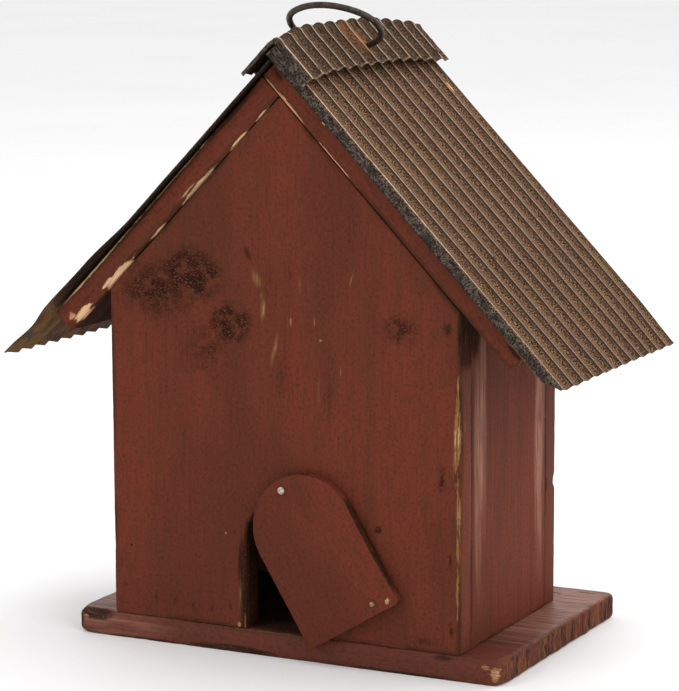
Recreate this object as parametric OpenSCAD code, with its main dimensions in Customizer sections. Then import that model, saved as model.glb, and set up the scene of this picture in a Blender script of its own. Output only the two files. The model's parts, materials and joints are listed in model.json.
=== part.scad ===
// Wooden birdhouse with a tin roof, a wire carrying handle and a swinging door.
// Origin: centre of the base board's underside. +X right, +Y to the back, +Z up.
// The front wall faces -Y.

/* [Boards] */
// Thickness of every wooden board
board_t = 10; // [8:0.5:12]
// Width of the base board, left to right
base_w = 184; // [180:1:200]
// Depth of the base board, front to back
base_d = 114; // [112:1:120]

/* [House] */
// Width of the front and back walls
house_w = 150; // [140:1:160]
// Depth of the house over its front and back walls
house_d = 91; // [84:1:96]
// Height at which the roof boards meet the outer faces of the side walls
eave_z = 140.7; // [135:0.1:150]
// Slope of both roof halves, in degrees
roof_angle = 45.8; // [44:0.1:47]
// Gap between a gable edge and the roof board above it
gable_gap = 0.4; // [0.2:0.1:1]

/* [Roof boards] */
// Length of the right board below the peak, measured along its underside
right_board_len = 135.5; // [125:0.5:140]
// Length of the left board below the peak, measured along its underside
left_board_len = 134; // [125:0.5:140]
// Depth of both roof boards, from the front wall's face backwards
roof_board_d = 110; // [104:1:112]

/* [Roof sheets] */
// Wall thickness of the corrugated metal
metal_t = 0.6; // [0.4:0.1:0.8]
// Height of a rib, without the metal's thickness
rib_h = 2.4; // [1.8:0.1:3]
// Length across one sloping side of a rib
rib_rise = 3.3; // [3:0.1:3.6]
// Width of a rib's flat crest
rib_crest = 1.3; // [0.8:0.1:1.6]
// Rib spacing on the two roof sheets
sheet_pitch = 9.7; // [9.5:0.05:9.8]
// Gap between the roof boards and the sheets
sheet_gap = 0.2; // [0.1:0.1:0.6]
// Distance from the ridge to the right sheet's lower edge
right_sheet_len = 166; // [160:1:172]
// Distance from the ridge to the left sheet's lower edge
left_sheet_len = 172; // [160:1:175]

/* [Ridge cap] */
// Rib spacing on the ridge cap
cap_pitch = 9.6; // [9.3:0.1:9.8]
// Height of the cap's rib crests above the roof boards
cap_lift = 7.8; // [7.6:0.1:8]
// Distance from the ridge to the lower edge of each flap
flap_len = 17; // [15:0.5:20]

/* [Wire handle] */
// Radius of the wire
wire_r = 1.3; // [1:0.1:1.4]
// Height of the line through the handle's two ends
handle_z = 232.8; // [232.4:0.1:233.2]
// Forward lean of the handle from upright, in degrees
handle_lean = 51; // [0:1:60]
// Bend radius of the handle's top
handle_top_r = 24; // [22:0.5:26]
// Angle that the top bend covers on each side, in degrees
handle_top_angle = 38; // [34:1:42]
// Bend radius of the handle's shoulders
handle_side_r = 11.2; // [10:0.1:12]
// Angle between a leg of the handle and the line through its ends, in degrees
handle_leg_angle = 35.5; // [32:0.5:40]

/* [Door] */
// Thickness of the door
door_t = 4; // [3:0.5:5]
// Width of the door
door_w = 44; // [42:1:48]
// Height of the door's straight sides
door_side_h = 41; // [39:1:43]
// Distance from the centre line of the house to the doorway's centre line
door_x = 2.2; // [-2:0.1:4]
// Angle that the door stands open, in degrees
door_open = 31.4; // [0:0.1:90]
// Width of the doorway
doorway_w = 36; // [32:1:38]
// Height of the doorway's arch centre above the base board's underside
doorway_spring_z = 46; // [44:1:47]

/* [Nails] */
// Shank radius of the nails that hold the boards
nail_r = 0.7; // [0.6:0.1:0.9]
// Head radius of the nails that hold the boards
nail_head_r = 1.1; // [1:0.1:1.6]
// Length of the nails that hold the boards
nail_len = 22; // [18:1:24]
// Head radius of the door's pivot nail
pivot_head_r = 1.55; // [1.3:0.05:2]

/* [Hidden] */

$fn = 48;
fit = 0.05;        // radial running clearance of the door on its nail
pin_fit = 0.1;     // radial running clearance of the handle in the cap
past = 1;          // how far a cutting shape runs past a face
cut = 0.05;        // gap at the joint between the two roof boards

front_y = -base_d / 2;
back_y = front_y + house_d;
wall_half = house_w / 2;
side_in = wall_half - board_t;
peak_z = eave_z + wall_half * tan(roof_angle);          // peak of the roof boards' undersides
ridge_z = peak_z + board_t / cos(roof_angle);           // peak of the roof boards' top faces
lap = board_t / sin(2 * roof_angle);                    // reach of the right board over the left one
sheet_h = metal_t + rib_h;                              // height of the ribs over all
lip_in = 1;                                             // the folded front edge's depth
sheet_first = front_y - 2.85;                           // first crest of the roof sheets
sheet_ribs = 12;
sheet_top_gap = 0.5;                                    // left sheet from the ridge line
sheet_over = sheet_h + 0.3;                             // right sheet's reach over the ridge
notch_w = 5;                                            // notch for the wire in each sheet
notch_len = 8;
cap_ribs = 13;
cap_first = -cap_ribs / 2 * cap_pitch;                  // leaves a valley on the centre line
handle_top_rise = 2.9;                                  // centre of the top bend above the ends
handle_pin_in = 3.9;                                    // ends of the wire from the centre line
foot_r = 3;                                             // bend radius where a leg meets its pin
bend_wire_r = wire_r - 0.04;                            // the wire is a little thinner in a bend

door_r = door_w / 2;
door_gap = 0.5;                                         // between the front wall and the door
door_back_y = front_y - door_gap;
door_nail_drop = 4.3;                                   // the nail below the top of the door
door_low_z = 8.9;                                       // lower edge of the closed door
door_arch_z = door_low_z + door_side_h;
door_pivot_z = door_arch_z + door_r - door_nail_drop;
door_shank_r = 0.8;
pivot_play = 0.2;                                       // between the door and its nail's head
pivot_bite = 8;                                         // depth of the nail in the front wall
pull_side = 10.2;                                       // the pull nail from the door's right edge
pull_up = 4.3;                                          // the pull nail above the door's lower edge
pull_r = 0.6;
head_t = 0.8;                                           // height of a large nail head

nail_side = wall_half - board_t / 2 + 0.4;              // wall nails from the centre line
nail_heights = [22, 74, 128];
wall_head_t = 0.4;                                      // head height of the wall nails
wall_head_proud = 0.2;
base_nail_in = 30;                                      // side wall nails from the house's ends
base_nail_x = 45;                                       // front and back wall nails
board_nail_s = [30, 85];                                // roof board nails below the peak
ridge_nail_y = [-25, 22];
tin_nail = [0.6, 1, 9, 0.5];                            // shank radius, head radius, length, head
tin_head_gap = 0.3;                                     // top of a tin nail's head over its rib
field_nail_s = 107;                                     // open sheet nail below the ridge
field_nail_rib = 3;
top_nail_s = 14;                                        // sheet nails under the cap
top_nail_ribs = [2, 10];
cap_nail = [0.7, 1.2, 15, 0.5];                         // shank radius, head radius, length, head
cap_nail_s = 13;

// ---- Helpers ----

// Children are placed on the right slope: X runs down the slope, Z points out of the roof.
module on_right_slope(z = peak_z) {
    translate([0, 0, z]) rotate([0, roof_angle, 0]) children();
}

module on_left_slope(z = peak_z) {
    mirror([1, 0, 0]) on_right_slope(z) children();
}

// Corners of one corrugation's lower line, from the crest centred on y to the next one.
function rib(pitch, y) = [
    [y + rib_crest / 2, rib_h],
    [y + rib_crest / 2 + rib_rise, 0],
    [y + pitch - rib_crest / 2 - rib_rise, 0],
    [y + pitch - rib_crest / 2, rib_h]
];

// Lower line of a whole sheet, with its front edge folded down. Its first crest is at y = first.
function sheet_line(pitch, ribs, first) = concat(
    [[first - rib_crest / 2 - lip_in, -metal_t], [first - rib_crest / 2, rib_h]],
    [for (i = [0 : ribs - 1], p = rib(pitch, first + i * pitch)) p]
);

// Cross section of a corrugated sheet: the line and the same line one thickness higher.
module sheet_section(pitch, ribs, first) {
    low = sheet_line(pitch, ribs, first);
    last = len(low) - 1;
    polygon(concat(low, [for (i = [last : -1 : 0]) low[i] + [0, metal_t]]));
}

// Flat corrugated sheet that runs along X from x0 to x1.
module corrugated(pitch, ribs, first, x0, x1) {
    translate([x0, 0, 0]) rotate([90, 0, 90]) linear_extrude(x1 - x0)
        sheet_section(pitch, ribs, first);
}

// Nail whose head's top lies at the origin and whose shank runs down -Z.
module nail(r = nail_r, head_r = nail_head_r, len = nail_len, head = head_t) {
    translate([0, 0, -len]) cylinder(h = len, r = r);
    translate([0, 0, -head]) cylinder(h = head, r = head_r);
}

// Outline of a gable wall.
module gable_outline() {
    drop = gable_gap / cos(roof_angle);
    polygon([
        [-wall_half, board_t], [wall_half, board_t],
        [wall_half, eave_z - drop], [0, peak_z - drop], [-wall_half, eave_z - drop]
    ]);
}

// Stands an outline up, with its face towards -Y at y and its thickness behind it.
module upright(y, t) {
    translate([0, y + t, 0]) rotate([90, 0, 0]) linear_extrude(t) children();
}

// Round-topped outline, with its lower edge on z0 and its arch centre on z1.
module arch_outline(x, r, z0, z1) {
    translate([x - r, z0]) square([2 * r, z1 - z0]);
    translate([x, z1]) circle(r);
}

// Swings children about the door's nail from closed to the angle it stands open.
module swung() {
    translate([door_x, 0, door_pivot_z]) rotate([0, -door_open, 0])
        translate([-door_x, 0, -door_pivot_z]) children();
}

// ---- Wooden boards ----

module base_board() {
    color("#6b3a2e") translate([-base_w / 2, front_y, 0]) cube([base_w, base_d, board_t]);
}

module front_wall() {
    color("#6e3226") difference() {
        upright(front_y, board_t) gable_outline();
        upright(front_y - past, board_t + 2 * past)
            arch_outline(door_x, doorway_w / 2, board_t - past, doorway_spring_z);
    }
}

module back_wall() {
    color("#6e3226") upright(back_y - board_t, board_t) gable_outline();
}

module side_wall() {
    translate([side_in, front_y + board_t, board_t])
        cube([board_t, house_d - 2 * board_t, eave_z - board_t - gable_gap]);
}

module left_wall() {
    color("#7a4034") mirror([1, 0, 0]) side_wall();
}

module right_wall() {
    color("#7a4034") side_wall();
}

module left_roof_board() {
    color("#6e3226") on_left_slope() translate([cut, front_y, 0])
        cube([left_board_len - cut, roof_board_d, board_t]);
}

module right_roof_board() {
    color("#6e3226") on_right_slope() translate([-lap, front_y, 0])
        cube([right_board_len + lap, roof_board_d, board_t]);
}

// ---- Corrugated roof ----

// Sheet whose top edge, at x0 down the slope, has a notch for the wire.
module roof_sheet(x0, x1) {
    translate([0, 0, sheet_gap]) difference() {
        corrugated(sheet_pitch, sheet_ribs, sheet_first, x0, x1);
        translate([x0 - past, -notch_w / 2, -past])
            cube([notch_len - x0 + past, notch_w, sheet_h + 2 * past]);
    }
}

module left_roof_sheet() {
    color("#5c4436") on_left_slope(ridge_z) roof_sheet(sheet_top_gap, left_sheet_len);
}

module right_roof_sheet() {
    color("#6a4c3a") on_right_slope(ridge_z) roof_sheet(-sheet_over, right_sheet_len);
}

// One flap of the cap, from the ridge line down. Both flaps reach a hair past the ridge line,
// where they join.
module cap_flap() {
    join = 0.01;
    intersection() {
        on_right_slope(ridge_z) translate([0, 0, cap_lift - sheet_h])
            corrugated(cap_pitch, cap_ribs, cap_first, -2 * cap_lift, flap_len);
        translate([-join, -base_w / 2, 0]) cube([base_w, base_w, 2 * ridge_z]);
    }
}

module ridge_cap() {
    color("#4f3d33") difference() {
        union() {
            cap_flap();
            mirror([1, 0, 0]) cap_flap();
        }
        for (side = [-1, 1]) translate([side * cap_lift, 0, handle_z]) rotate([0, 90, 0])
            cylinder(h = cap_lift + past, r = wire_r + pin_fit, center = true);
    }
}

// ---- Wire handle ----

// Bend in the wire: part of a ring in the XY plane, from angle a0 over sweep degrees. Its ends
// reach a little way into the thicker wire on both sides.
module wire_bend(centre, r, a0, sweep) {
    more = 0.3 / r * 180 / PI;
    translate([centre[0], centre[1], 0]) rotate([0, 0, a0 - more])
        rotate_extrude(angle = sweep + 2 * more) translate([r, 0]) circle(bend_wire_r);
}

// Straight wire in the XY plane, from a point over a length in a direction.
module straight_wire(from, angle, len) {
    translate([from[0], from[1], 0]) rotate([0, 0, angle]) rotate([0, 90, 0])
        cylinder(h = len, r = wire_r);
}

// Handle in the XY plane, with its ends on the X axis and its top on the Y axis.
module handle_flat() {
    shoulder_c = (handle_top_r - handle_side_r) * [sin(handle_top_angle), cos(handle_top_angle)]
        + [0, handle_top_rise];
    turn = 90 - handle_leg_angle;
    leg_top = shoulder_c + handle_side_r * [cos(turn), -sin(turn)];
    foot_x = leg_top[0] - leg_top[1] / tan(handle_leg_angle);
    foot_in = foot_r * tan(handle_leg_angle / 2);       // length that the foot's bend takes up
    leg_dir = [cos(handle_leg_angle), sin(handle_leg_angle)];
    leg_low = [foot_x, 0] + foot_in * leg_dir;
    translate([0, handle_top_rise, 0]) rotate([0, 0, 90 - handle_top_angle])
        rotate_extrude(angle = 2 * handle_top_angle) translate([handle_top_r, 0]) circle(wire_r);
    for (side = [0, 1]) mirror([side, 0, 0]) {
        wire_bend(shoulder_c, handle_side_r, -turn, turn + 90 - handle_top_angle);
        straight_wire(leg_low, handle_leg_angle, norm(leg_top - leg_low));
        wire_bend([foot_x - foot_in, foot_r], foot_r, -90, handle_leg_angle);
        straight_wire([handle_pin_in, 0], 0, foot_x - foot_in - handle_pin_in);
    }
}

module wire_handle() {
    color("#3a3029") translate([0, 0, handle_z]) rotate([90 + handle_lean, 0, 0]) handle_flat();
}

// ---- Door ----

module door() {
    color("#6b3227") swung() difference() {
        upright(door_back_y - door_t, door_t)
            arch_outline(door_x, door_r, door_low_z, door_arch_z);
        translate([door_x, door_back_y, door_pivot_z]) rotate([90, 0, 0])
            cylinder(h = 3 * door_t, r = door_shank_r + fit, center = true);
    }
}

module door_pivot_nail() {
    proud = door_gap + door_t + pivot_play + head_t;
    color("#b9aea4") translate([door_x, front_y - proud, door_pivot_z]) rotate([90, 0, 0])
        nail(door_shank_r, pivot_head_r, proud + pivot_bite);
}

module door_pull_nail() {
    head_y = door_back_y - door_t - head_t;
    color("#8f7f70") swung() translate([door_x + door_r - pull_side, head_y, door_low_z + pull_up])
        rotate([90, 0, 0]) nail(pull_r, nail_head_r, door_t + head_t - pull_r);
}

// ---- Nails ----

// Two upright rows of nails through a wall's outer face into the side walls' ends.
module wall_nails(y, turn) {
    for (side = [-1, 1], z = nail_heights)
        translate([side * nail_side, y, z]) rotate([turn, 0, 0]) nail(head = wall_head_t);
}

module front_wall_nails() {
    color("#8a7466") wall_nails(front_y - wall_head_proud, 90);
}

module back_wall_nails() {
    color("#8a7466") wall_nails(back_y + wall_head_proud, -90);
}

// Nails up through the base board into the lower ends of the four walls.
module base_nails() {
    wall_mid = wall_half - board_t / 2;
    color("#8a7466") {
        for (side = [-1, 1], y = [front_y + base_nail_in, back_y - base_nail_in])
            translate([side * wall_mid, y, 0]) rotate([180, 0, 0]) nail();
        for (x = [-base_nail_x, base_nail_x], y = [front_y + board_t / 2, back_y - board_t / 2])
            translate([x, y, 0]) rotate([180, 0, 0]) nail();
    }
}

// Nails through a roof board into the sloping tops of the gable walls.
module board_nails() {
    for (s = board_nail_s, y = [front_y + board_t / 2, back_y - board_t / 2])
        translate([s, y, board_t]) nail();
}

module left_board_nails() {
    color("#8a7466") on_left_slope() board_nails();
}

module right_board_nails() {
    color("#8a7466") on_right_slope() board_nails();
}

// Nails through the right board's top end into the end of the left board.
module ridge_nails() {
    color("#8a7466") on_right_slope()
        for (y = ridge_nail_y) translate([-lap / 2, y, board_t]) nail();
}

// Nail through the crest of one of a sheet's ribs, s mm below the ridge.
module sheet_nail(s, rib_index) {
    translate([s, sheet_first + rib_index * sheet_pitch, sheet_gap + sheet_h + tin_head_gap])
        nail(tin_nail[0], tin_nail[1], tin_nail[2], tin_nail[3]);
}

// Nails through a sheet into the roof board: one on an open rib, two hidden under the cap.
module sheet_nails() {
    sheet_nail(field_nail_s, field_nail_rib);
    for (i = top_nail_ribs) sheet_nail(top_nail_s, i);
}

module left_sheet_nails() {
    color("#9b8f86") on_left_slope(ridge_z) sheet_nails();
}

module right_sheet_nails() {
    color("#9b8f86") on_right_slope(ridge_z) sheet_nails();
}

// Nails through one flap of the cap, the sheet and the roof board below it, on the second rib
// from each end.
module flap_nails() {
    for (end = [-1, 1])
        translate([cap_nail_s, end * (cap_ribs / 2 - 1) * cap_pitch, cap_lift + tin_head_gap])
            nail(cap_nail[0], cap_nail[1], cap_nail[2], cap_nail[3]);
}

module cap_nails() {
    color("#8c4a22") {
        on_right_slope(ridge_z) flap_nails();
        on_left_slope(ridge_z) flap_nails();
    }
}

base_board();
front_wall();
back_wall();
left_wall();
right_wall();
left_roof_board();
right_roof_board();
left_roof_sheet();
right_roof_sheet();
ridge_cap();
wire_handle();
door();
door_pivot_nail();
door_pull_nail();
front_wall_nails();
back_wall_nails();
base_nails();
left_board_nails();
right_board_nails();
ridge_nails();
left_sheet_nails();
right_sheet_nails();
cap_nails();
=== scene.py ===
import json
import math

import bmesh
import bpy
from mathutils import Matrix, Vector, noise


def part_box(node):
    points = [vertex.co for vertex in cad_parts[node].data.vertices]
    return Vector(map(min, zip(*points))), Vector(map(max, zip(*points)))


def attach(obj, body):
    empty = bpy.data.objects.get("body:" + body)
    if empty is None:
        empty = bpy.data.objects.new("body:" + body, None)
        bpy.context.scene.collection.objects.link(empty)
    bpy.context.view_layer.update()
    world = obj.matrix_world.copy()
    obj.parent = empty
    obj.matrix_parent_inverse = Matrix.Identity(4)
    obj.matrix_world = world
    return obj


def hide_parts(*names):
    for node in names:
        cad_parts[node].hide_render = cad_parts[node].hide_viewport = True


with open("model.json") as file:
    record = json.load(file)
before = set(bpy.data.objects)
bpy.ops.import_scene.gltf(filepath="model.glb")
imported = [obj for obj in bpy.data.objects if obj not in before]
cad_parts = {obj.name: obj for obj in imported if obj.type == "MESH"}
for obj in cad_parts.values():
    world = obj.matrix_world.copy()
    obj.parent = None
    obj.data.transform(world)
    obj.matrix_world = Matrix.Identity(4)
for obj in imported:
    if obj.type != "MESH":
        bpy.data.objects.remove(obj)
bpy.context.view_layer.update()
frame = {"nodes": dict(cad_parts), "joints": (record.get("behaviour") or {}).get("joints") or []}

# Looks of a red-painted wooden birdhouse with a rusty corrugated roof. Metres throughout, in the
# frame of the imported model: +X right, +Y to the back, +Z up.

MM = 0.001

# ---- Places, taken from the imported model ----

ROOF = math.radians(45.8)               # slope of both roof halves
SIN, COS = math.sin(ROOF), math.cos(ROOF)

base_lo, base_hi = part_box("base_board")
front_lo, front_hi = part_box("front_wall")
back_lo, back_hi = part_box("back_wall")
side_lo, side_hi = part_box("right_wall")
right_board_lo, right_board_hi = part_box("right_roof_board")
left_board_lo, left_board_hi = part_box("left_roof_board")
right_sheet_lo, right_sheet_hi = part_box("right_roof_sheet")
left_sheet_lo, left_sheet_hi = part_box("left_roof_sheet")
cap_lo, cap_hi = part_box("ridge_cap")

BOARD = base_hi.z                       # thickness of every board
WALL_X = front_hi.x
FRONT_Y = front_lo.y
BACK_Y = back_hi.y
GABLE_TOP = front_hi.z
GABLE_EAVE = GABLE_TOP - WALL_X * math.tan(ROOF)
RIGHT_BOARD_LEN = (right_board_hi.x - BOARD * SIN) / COS
LEFT_BOARD_LEN = (-left_board_lo.x - BOARD * SIN) / COS
PEAK_Z = right_board_lo.z + RIGHT_BOARD_LEN * SIN       # peak of the roof boards' undersides
RIDGE_Z = PEAK_Z + BOARD / COS                          # peak of their top faces
LAP = BOARD / math.sin(2 * ROOF)                        # reach of the right board over the left

SHEET_TOP = 3.2 * MM                    # height of the sheets' crests over the boards
RIB = 1.5 * MM                          # height of the sheets' ribs
CAP_RIB = 1.9 * MM
TIN = 0.5 * MM
RIGHT_SHEET_LEN = (right_sheet_hi.x - SHEET_TOP * SIN) / COS
LEFT_SHEET_LEN = (-left_sheet_lo.x - SHEET_TOP * SIN) / COS
SHEET_PITCH = 9.7 * MM
CAP_PITCH = 9.6 * MM

joints = {j["name"]: j for j in frame["joints"]}
DOOR_PIVOT = Vector(joints["door_swing"]["pos_m"])
DOOR_OPEN = math.radians(31.4)
HANDLE_AXIS = Vector(joints["handle_swing"]["pos_m"])
HANDLE_LEAN = math.radians(51)


def rgb(red, green, blue):
    """Linear colour with alpha, from display values of 0 to 255."""
    return tuple(((c / 255 + 0.055) / 1.055) ** 2.4 for c in (red, green, blue)) + (1,)


def smooth(x, low, high):
    """0 below low, 1 above high, with an easy rise between."""
    t = min(max((x - low) / (high - low), 0), 1)
    return t * t * (3 - 2 * t)


def wobble(x, y, z, scale):
    """Smooth noise from about -1 to 1, scale cycles a metre."""
    return noise.noise(Vector((x, y, z)) * scale)


# ---- Shaders ----

class Shader:
    """A material or world under construction. Every method but node and finish returns a socket."""

    def __init__(self, owner):
        self.owner = owner
        owner.use_nodes = True
        self.tree = owner.node_tree
        self.tree.nodes.clear()

    def node(self, kind, inputs=None, **settings):
        made = self.tree.nodes.new(kind)
        for key, value in settings.items():
            setattr(made, key, value)
        for key, value in (inputs or {}).items():
            if isinstance(value, bpy.types.NodeSocket):
                self.tree.links.new(value, made.inputs[key])
            else:
                made.inputs[key].default_value = value
        return made

    def attribute(self, name, output="Fac"):
        return self.node("ShaderNodeAttribute", attribute_name=name).outputs[output]

    def math(self, operation, a, b=0.0, clamp=False):
        made = self.node("ShaderNodeMath", {0: a, 1: b}, operation=operation, use_clamp=clamp)
        return made.outputs[0]

    def scaled(self, value, factor, base):
        inputs = {0: value, 1: factor, 2: base}
        return self.node("ShaderNodeMath", inputs, operation="MULTIPLY_ADD").outputs[0]

    def times(self, a, b):
        return self.math("MULTIPLY", a, b)

    def plus(self, a, b, clamp=False):
        return self.math("ADD", a, b, clamp)

    def minus(self, a, b):
        return self.math("SUBTRACT", a, b)

    def larger(self, a, b):
        return self.math("MAXIMUM", a, b)

    def rise(self, value, low, high, top=1.0):
        """0 to top as value goes from low to high."""
        inputs = {"Value": value, "From Min": low, "From Max": high, "To Max": top}
        made = self.node("ShaderNodeMapRange", inputs, interpolation_type="SMOOTHSTEP")
        return made.outputs["Result"]

    def moved(self, vector, place=(0, 0, 0), scale=(1, 1, 1)):
        inputs = {"Vector": vector, "Location": place, "Scale": scale}
        return self.node("ShaderNodeMapping", inputs).outputs[0]

    def noise(self, vector, scale, detail=3.0, roughness=0.55):
        inputs = {"Vector": self.moved(vector, scale=scale), "Scale": 1.0, "Detail": detail,
                  "Roughness": roughness}
        return self.node("ShaderNodeTexNoise", inputs).outputs["Fac"]

    def cells(self, vector, scale):
        """Distance from the border of the nearest cell."""
        inputs = {"Vector": self.moved(vector, scale=scale), "Scale": 1.0}
        made = self.node("ShaderNodeTexVoronoi", inputs, feature="DISTANCE_TO_EDGE")
        return made.outputs["Distance"]

    def spots(self, vector, places):
        """Highest of several soft ellipses: each is (u, v, half length, half width, height), and
        its turn in degrees where it has one."""
        total = None
        for u, v, length, width, height, *turn in places:
            inputs = {"Vector": vector, "Location": (u * MM, v * MM, 0),
                      "Rotation": (0, 0, math.radians(sum(turn))),
                      "Scale": (length * MM, width * MM, 1)}
            local = self.node("ShaderNodeMapping", inputs, vector_type="TEXTURE").outputs[0]
            local = self.moved(local, scale=(1, 1, 0))
            ball = self.node("ShaderNodeTexGradient", {"Vector": local}, gradient_type="SPHERICAL")
            spot = self.times(ball.outputs["Fac"], height)
            total = spot if total is None else self.larger(total, spot)
        return total

    def blend(self, factor, a, b):
        inputs = {0: factor, 6: a, 7: b}
        return self.node("ShaderNodeMix", inputs, data_type="RGBA").outputs[2]

    def finish(self, colour, roughness, height, depth, **constants):
        """Principled surface with bump depth metres deep; constants go on its own sockets."""
        bump = self.node("ShaderNodeBump", {"Height": height, "Distance": depth, "Strength": 1.0})
        inputs = {"Base Color": colour, "Roughness": roughness, "Normal": bump.outputs[0]}
        surface = self.node("ShaderNodeBsdfPrincipled", inputs)
        for key, value in constants.items():
            surface.inputs[key.replace("_", " ")].default_value = value
        self.node("ShaderNodeOutputMaterial", {"Surface": surface.outputs[0]})
        return self.owner


PAINT = rgb(110, 53, 39)
PAINT_DEEP = rgb(95, 48, 36)
PAINT_BROWN = rgb(86, 51, 34)
PAINT_LIGHT = rgb(140, 84, 68)
# PAINT_SHEEN is painted sheen: lighter, pinker paint that stands in for reflections of the white
# surroundings.
PAINT_SHEEN = rgb(174, 126, 108)
GLAZE = rgb(58, 37, 24)
CRACK = rgb(34, 22, 15)
WOOD = rgb(222, 178, 138)
WOOD_AGED = rgb(134, 94, 52)
WOOD_LATE = rgb(184, 130, 86)
WOOD_GREY = rgb(120, 94, 66)
RINGS = 330.0           # annual rings in a metre of wood


def painted_wood(name, shift, bare=(), scuffs=(), cracked=(), dark=(), sheen_spots=(), edge_bare=(),
                 edge_dark=(), worn=0.0, glaze=0.0, inside=0.0, aged=0.0, grime=0.8, gloss=0.12,
                 ior=1.2, underside_shade_and_grime=0.0):
    """Red paint over softwood. Spots of bare wood, scuffs, cracks, dark spots (mostly grime, in
    places painted shade) and sheen_spots of painted sheen lie on the face as (along the grain,
    across, ...), and edge_bare and edge_dark on the front edge as (along the grain, depth, ...).
    worn adds to the wear along the arrises and glaze to the brown streaks. aged browns the bare
    wood and grime darkens the arrises. gloss and ior are the specular level and index. inside is
    the depth of the unpainted inner face, and underside_shade_and_grime that of an underside
    darkened with painted shade and grime."""
    m = Shader(bpy.data.materials.new(name))
    flat = m.attribute("grain", "Vector")
    edge = m.attribute("edge")
    end = m.attribute("end")
    at = m.moved(flat, place=shift)
    split = m.node("ShaderNodeSeparateXYZ", {0: flat})
    on_edge = m.node("ShaderNodeCombineXYZ", {0: split.outputs[0], 1: split.outputs[2]}).outputs[0]
    foremost = m.rise(split.outputs[1], FRONT_Y + 3.2 * MM, FRONT_Y + 2.2 * MM)

    parts = m.node("ShaderNodeSeparateXYZ", {0: at})
    sway = m.times(m.noise(at, (5, 30, 30), 2), 0.012)
    across = m.plus(parts.outputs[1], sway)
    spread = m.node("ShaderNodeCombineXYZ", {0: across, 1: parts.outputs[2]})
    radius = m.node("ShaderNodeVectorMath", {0: spread.outputs[0]}, operation="LENGTH")
    rings = m.math("FRACT", m.times(radius.outputs["Value"], RINGS))
    late = m.rise(rings, 0.45, 0.95)
    fibre = m.noise(at, (60, 1300, 1300), 4, 0.62)
    jag = m.noise(at, (190, 800, 800), 5, 0.68)
    patch = m.noise(at, (22, 55, 55), 3)
    broad = m.noise(at, (9, 26, 26), 3)
    streak = m.noise(at, (10, 190, 190), 5, 0.6)
    grit = m.noise(at, (800, 800, 800), 3, 0.7)

    # Paint, with its darker and browner stretches along the grain
    paint = m.blend(m.rise(broad, 0.38, 0.66), PAINT, PAINT_DEEP)
    paint = m.blend(m.rise(streak, 0.48, 0.72, 0.42 + glaze), paint, PAINT_BROWN)
    paint = m.blend(m.rise(fibre, 0.52, 0.78, 0.42), paint, GLAZE)
    paint = m.blend(m.rise(m.noise(at, (110, 260, 260), 4), 0.48, 0.68, 0.42), paint, PAINT_BROWN)
    paint = m.blend(m.rise(grit, 0.50, 0.70, 0.58), paint, GLAZE)
    paint = m.blend(m.rise(grit, 0.46, 0.28, 0.16), paint, PAINT_LIGHT)
    # Painted sheen: lighter, pinker paint in the sheen spots, for reflections of the bright
    # surroundings
    sheen_mask = 0.0
    if sheen_spots:
        sheen_zone = m.spots(flat, sheen_spots)
        sheen_mask = m.times(m.minus(streak, 0.5), 1.5)
        sheen_mask = m.rise(m.plus(sheen_mask, m.times(sheen_zone, 0.9)), 0.05, 0.8, 0.62)
        sheen_mask = m.times(sheen_mask, m.rise(sheen_zone, 0.0, 0.3))
        sheen_mask = m.times(sheen_mask, m.rise(end, 0.7, 0.1))
        sheen_mask = m.times(sheen_mask, m.rise(fibre, 0.72, 0.40))
        paint = m.blend(sheen_mask, paint, PAINT_SHEEN)
    rim = m.times(m.rise(edge, 0.0024, 0.0004), m.rise(patch, 0.40, 0.60, grime))
    paint = m.blend(rim, paint, GLAZE)
    grain_end = m.noise(at, (300, 620, 90), 3, 0.6)
    tone = m.noise(at, (300, 300, 70), 3, 0.6)
    stripe = m.times(m.rise(end, 0.4, 0.9), m.rise(grain_end, 0.44, 0.58, 0.9))
    paint = m.blend(stripe, paint, m.blend(m.rise(tone, 0.44, 0.56), rgb(118, 76, 46), CRACK))
    paint = m.blend(m.times(end, 0.1), paint, GLAZE)
    matt = 0.0
    for spots, place, limit in ((dark, flat, 1.0), (edge_dark, on_edge, foremost)):
        if spots:
            shade = m.plus(m.spots(place, spots), m.times(jag, 0.6))
            shade = m.times(m.rise(shade, 0.52, 0.95, 0.88), limit)
            shade = m.times(shade, m.rise(grit, 0.22, 0.48))
            paint = m.blend(shade, paint, m.blend(m.rise(fibre, 0.4, 0.6), GLAZE, CRACK))
            matt = m.larger(matt, shade)

    # Painted shade with grime: the roof boards' undersides, under the eaves, darkened nearly to
    # black.
    if underside_shade_and_grime:
        below = m.rise(split.outputs[2], underside_shade_and_grime - 0.0001, underside_shade_and_grime - 0.00003, 0.85)
        paint = m.blend(below, paint, m.blend(m.rise(streak, 0.4, 0.6), GLAZE, CRACK))
        matt = m.larger(matt, below)

    # Alligator cracks
    crack = None
    if cracked:
        stir = m.node("ShaderNodeTexNoise", {"Vector": flat, "Scale": 420.0}).outputs["Color"]
        stir = m.node("ShaderNodeVectorMath", {0: stir, 1: (0.0016, 0.0022, 0)}, operation="MULTIPLY")
        bent = m.node("ShaderNodeVectorMath", {0: flat, 1: stir.outputs[0]}, operation="ADD")
        lines = m.rise(m.cells(bent.outputs[0], (1120, 720, 1)), 0.20, 0.05)
        zone = m.plus(m.spots(flat, cracked), m.times(jag, 0.7))
        broken = m.rise(m.noise(flat, (210, 180, 1), 3), 0.32, 0.56)
        crack = m.times(m.times(lines, broken), m.rise(zone, 0.50, 1.15, 0.95))
        paint = m.blend(m.rise(zone, 0.55, 1.05, 0.35), paint, PAINT_BROWN)
        paint = m.blend(crack, paint, CRACK)

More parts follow.
